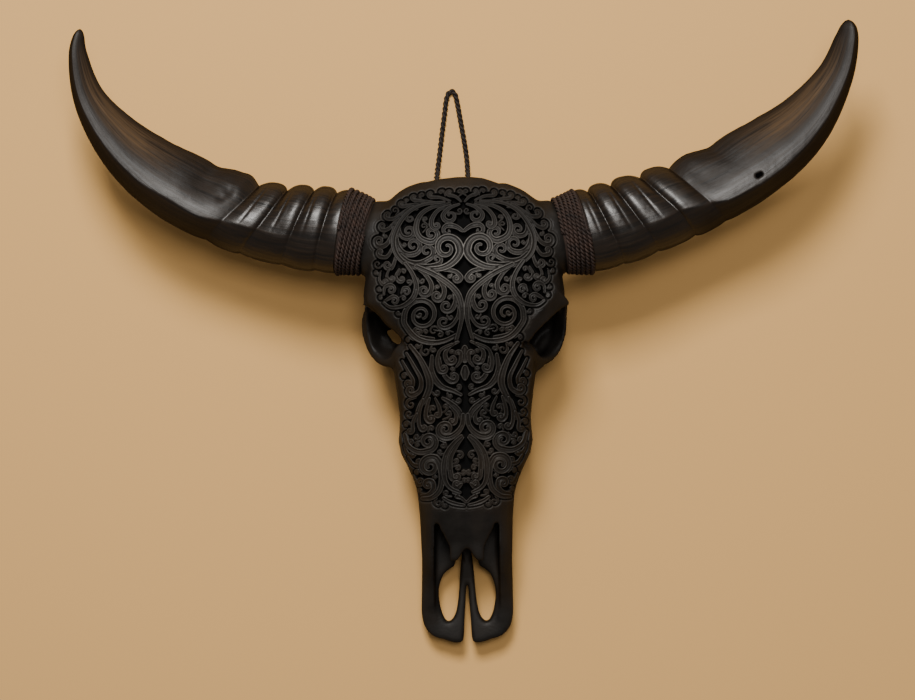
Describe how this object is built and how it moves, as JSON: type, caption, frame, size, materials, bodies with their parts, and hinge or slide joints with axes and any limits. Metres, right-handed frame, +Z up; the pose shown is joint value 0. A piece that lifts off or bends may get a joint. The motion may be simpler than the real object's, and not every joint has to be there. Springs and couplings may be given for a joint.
{
  "type": "carved horned cattle skull",
  "caption": "Life-size blackened cattle skull with scroll-carved face, long ringed horns, cord-bound horn roots and a hanging loop; a still display piece that lies face up.",
  "frame": {"origin": "middle of the skull's box, without the hanging loop, on the floor it lies on", "axes": "+X across the horns to the right as seen from above with the nose down, +Y from nose to crown, +Z up, the way the face looks"},
  "size_m": [0.8361, 0.6722, 0.1782],
  "materials": {
    "bone": null,
    "horn": null,
    "binding": "dark brown twisted cord, wound side by side",
    "cord": "blackish brown twisted cord"
  },
  "bodies": {
    "root": {"nasal_bones": "bone", "frontal_bone": "bone", "premaxilla_right": "bone", "premaxilla_left": "bone", "zygomatic_right": "bone", "zygomatic_left": "bone", "occipital_bone": "bone", "maxilla_right": "bone", "maxilla_left": "bone", "horn_right": "horn", "horn_left": "horn", "horn_binding_right": "binding", "horn_binding_left": "binding", "hanging_cord": "cord"}
  },
  "joints": []
}
